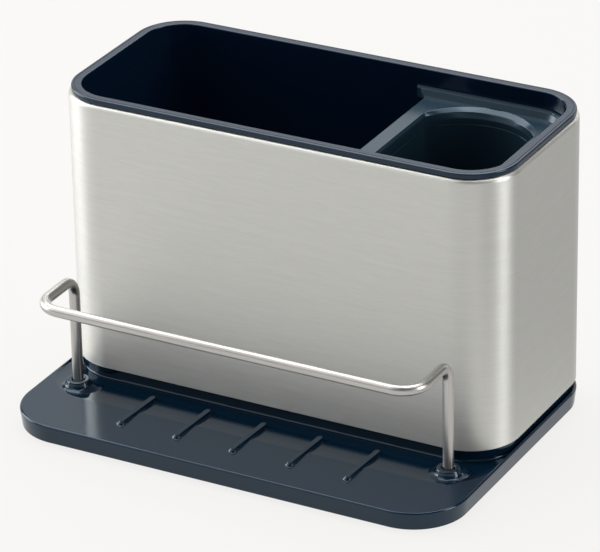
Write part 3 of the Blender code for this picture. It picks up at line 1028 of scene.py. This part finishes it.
def finish_surface(shader, group, surface):
    """Lead a group's colour, roughness and height, in millimetres, to the surface."""
    shader.join(group.outputs["Colour"], surface.inputs["Base Color"])
    shader.join(group.outputs["Roughness"], surface.inputs["Roughness"])
    bump = shader.add("ShaderNodeBump")
    fill(bump, Distance=MM, Strength=1.0)
    shader.join(group.outputs["Height"], bump.inputs["Height"])
    shader.join(bump.outputs["Normal"], surface.inputs["Normal"])


def make_plastic(name, colour, roughness, wave_height, grain_height, specular=0.55):
    """Moulded plastic, with the heights of its waves and its grain in millimetres."""
    material, shader, surface = start_material(name)
    group = shader.add("ShaderNodeGroup", node_tree=moulding)
    fill(group, Colour=(*colour, 1.0), Roughness=roughness)
    fill(group, Wave_Height=wave_height, Grain_Height=grain_height)
    finish_surface(shader, group, surface)
    fill(surface, Specular_IOR_Level=specular, Specular_Tint=(*plastic_tint, 1.0))
    return material


def make_sleeve_steel():
    """Brushed along the width, so its highlights spread upright."""
    material, shader, surface = start_material("sleeve_brushed_steel")
    place = shader.add("ShaderNodeTexCoord").outputs["Object"]
    group = shader.add("ShaderNodeGroup", node_tree=brushing)
    shader.join(shader.stretch(place, sleeve_grain_stretch), group.inputs["Vector"])
    fill(group, Colour=(0.61, 0.61, 0.583, 1.0), Roughness=0.43, Tone_Change=0.16, Gloss_Change=0.08)
    fill(group, Scratch_Height=0.004)
    finish_surface(shader, group, surface)
    tangent = shader.add("ShaderNodeTangent", direction_type="RADIAL", axis="Z")
    shader.join(tangent.outputs["Tangent"], surface.inputs["Tangent"])
    fill(surface, Metallic=1.0, Anisotropic=0.7, Anisotropic_Rotation=0.25)
    return material


def make_rail_steel():
    """Drawn wire, with a grain that runs along it."""
    material, shader, surface = start_material("rail_drawn_wire")
    place = shader.add("ShaderNodeAttribute", attribute_name=wire_place_name).outputs["Vector"]
    group = shader.add("ShaderNodeGroup", node_tree=brushing)
    shader.join(shader.stretch(place, wire_grain_stretch), group.inputs["Vector"])
    fill(group, Colour=(0.49, 0.478, 0.458, 1.0), Roughness=0.33, Tone_Change=0.5, Gloss_Change=0.15)
    fill(group, Scratch_Height=0.002)
    finish_surface(shader, group, surface)
    fill(surface, Metallic=1.0)
    return material


def make_rubber():
    return make_plastic(
        "foot_soft_rubber",
        colour=(0.03, 0.03, 0.032),
        roughness=0.8,
        wave_height=0.0,
        grain_height=0.03,
        specular=0.3,
    )


def dress_kept_nodes(collar_material, rubber):
    """Finishes of the nodes that keep their own mesh."""
    for name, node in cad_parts.items():
        material = None
        if name == "sleeve_collar":
            material = collar_material
        elif name.startswith("foot_"):
            material = rubber
        if material:
            node.data.materials.clear()
            node.data.materials.append(material)


def make_floor():
    """Pale floor with the caddy's shadow on it. Gloss sees it dimmer behind on the right."""
    bm = bmesh.new()
    bmesh.ops.create_grid(bm, x_segments=1, y_segments=1, size=floor_size / 2)
    floor = add_mesh("floor", bm)
    material, shader, surface = start_material("pale_floor")
    fill(surface, Base_Color=(*(floor_shade * part for part in backdrop), 1.0), Roughness=0.9)
    fill(surface, Specular_IOR_Level=0.0)
    glow = shader.add("ShaderNodeEmission")
    fill(glow, Color=(*backdrop, 1.0))
    path = shader.add("ShaderNodeLightPath")
    gloss = shader.figure("MAXIMUM", path.outputs["Is Glossy Ray"], path.outputs["Is Transmission Ray"])
    seen = shader.figure("MAXIMUM", path.outputs["Is Camera Ray"], gloss)
    place = shader.add("ShaderNodeNewGeometry").outputs["Position"]
    side = shader.facing(place, dim_floor_direction)
    loss = shader.ramp(side, dim_floor_start, dim_floor_end, 0.0, 1 - dim_floor_level, True)
    strength = shader.figure("SUBTRACT", 1.0, shader.figure("MULTIPLY", loss, gloss))
    shader.join(strength, glow.inputs["Strength"])
    mix = shader.add("ShaderNodeMixShader")
    shader.join(shader.figure("MULTIPLY", seen, floor_glow_share), mix.inputs[0])
    shader.join(surface.outputs[0], mix.inputs[1])
    shader.join(glow.outputs[0], mix.inputs[2])
    shader.join(mix.outputs[0], material.node_tree.nodes["Material Output"].inputs["Surface"])
    floor.data.materials.append(material)


def make_world():
    """Even fill light and a pale backdrop.

    Gloss sees a room that is bright low down, but for its right rear, and bright straight behind.
    """
    world = bpy.data.worlds.new("studio")
    world.use_nodes = True
    bpy.context.scene.world = world
    shader = Shader(world.node_tree)
    path = shader.add("ShaderNodeLightPath")
    direction = shader.add("ShaderNodeTexCoord").outputs["Generated"]
    parts = shader.add("ShaderNodeSeparateXYZ")
    shader.join(direction, parts.inputs[0])
    low = shader.ramp(parts.outputs["Z"], horizon_low, horizon_high, 1.0, 0.0, True)
    dim = shader.ramp(shader.facing(direction, dim_direction), dim_start, dim_full, 1.0, 0.0, True)
    rear = shader.ramp(shader.facing(direction, rear_direction), rear_start, rear_full, 0.0, 1.0, True)
    lit = shader.figure("MAXIMUM", shader.figure("MULTIPLY", low, dim), rear)
    room = shader.ramp(lit, 0.0, 1.0, room_level, room_glow)
    gloss = shader.figure("MAXIMUM", path.outputs["Is Glossy Ray"], path.outputs["Is Transmission Ray"])
    shown = world.node_tree.nodes["Background"]
    fill(shown, Color=(*backdrop, 1.0))
    level = shader.add("ShaderNodeMix")
    shader.join(gloss, level.inputs["Factor"])
    fill(level, A=fill_level)
    shader.join(room, level.inputs["B"])
    strength = shader.add("ShaderNodeMix")
    shader.join(path.outputs["Is Camera Ray"], strength.inputs["Factor"])
    shader.join(level.outputs["Result"], strength.inputs["A"])
    fill(strength, B=1.0)
    shader.join(strength.outputs["Result"], shown.inputs["Strength"])


def bearing(azimuth, elevation):
    """Direction at an azimuth from the front, positive to the right, and an elevation."""
    turn = math.radians(azimuth)
    rise = math.radians(elevation)
    level = math.cos(rise)
    return Vector((math.sin(turn) * level, -math.cos(turn) * level, math.sin(rise)))


def add_softbox(softbox):
    """Soft light that faces the caddy."""
    light = bpy.data.lights.new(softbox.name, "AREA")
    light.shape = "RECTANGLE"
    light.size = softbox.width
    light.size_y = softbox.height
    light.energy = softbox.power
    lamp = bpy.data.objects.new(softbox.name, light)
    bpy.context.scene.collection.objects.link(lamp)
    away = bearing(softbox.azimuth, softbox.elevation)
    lamp.location = Vector(camera_pivot) + away * softbox.distance
    lamp.rotation_euler = away.to_track_quat("Z", "Y").to_euler()


def add_camera():
    turn = math.radians(camera_azimuth)
    tilt = math.radians(camera_roll)
    back = bearing(camera_azimuth, camera_elevation)
    right = Vector((math.cos(turn), math.sin(turn), 0))
    up = back.cross(right)
    target = Vector(camera_pivot) + camera_aside * right + camera_rise * up
    across = math.cos(tilt) * right + math.sin(tilt) * up
    upright = math.cos(tilt) * up - math.sin(tilt) * right
    lens = bpy.data.cameras.new("camera")
    lens.lens = camera_lens
    lens.sensor_fit = "HORIZONTAL"
    lens.sensor_width = camera_sensor
    lens.clip_start, lens.clip_end = camera_clip
    camera = bpy.data.objects.new("camera", lens)
    bpy.context.scene.collection.objects.link(camera)
    place = Matrix((across, upright, back)).transposed().to_4x4()
    place.translation = target + camera_distance * back
    camera.matrix_world = place
    bpy.context.scene.camera = camera


add_camera()
moulding = make_moulding_group()
brushing = make_brushing_group()
tray_plastic = make_plastic(
    "tray_gloss_plastic",
    colour=(0.002, 0.013, 0.03),
    roughness=0.11,
    wave_height=0.05,
    grain_height=0.0006,
)
# The liner's own dark navy, set darker than the insert's plastic as painted shade for the inside of the
# tub
liner_plastic = make_plastic(
    "liner_plastic_painted_shade",
    colour=(0.002, 0.009, 0.024),
    roughness=0.2,
    wave_height=0.03,
    grain_height=0.001,
)
insert_plastic = make_plastic(
    "insert_satin_plastic",
    colour=(0.012, 0.027, 0.042),
    roughness=0.2,
    wave_height=0.03,
    grain_height=0.001,
)
collar_plastic = make_plastic(
    "collar_matt_plastic",
    colour=(0.01, 0.018, 0.03),
    roughness=0.35,
    wave_height=0.0,
    grain_height=0.002,
)
build_tray(tray_plastic)
build_sleeve(make_sleeve_steel())
build_liner(liner_plastic)
build_insert(insert_plastic)
build_rail(make_rail_steel())
dress_kept_nodes(collar_plastic, make_rubber())
make_floor()
make_world()
for softbox in softboxes:
    add_softbox(softbox)
bpy.context.scene.view_settings.view_transform = "Standard"
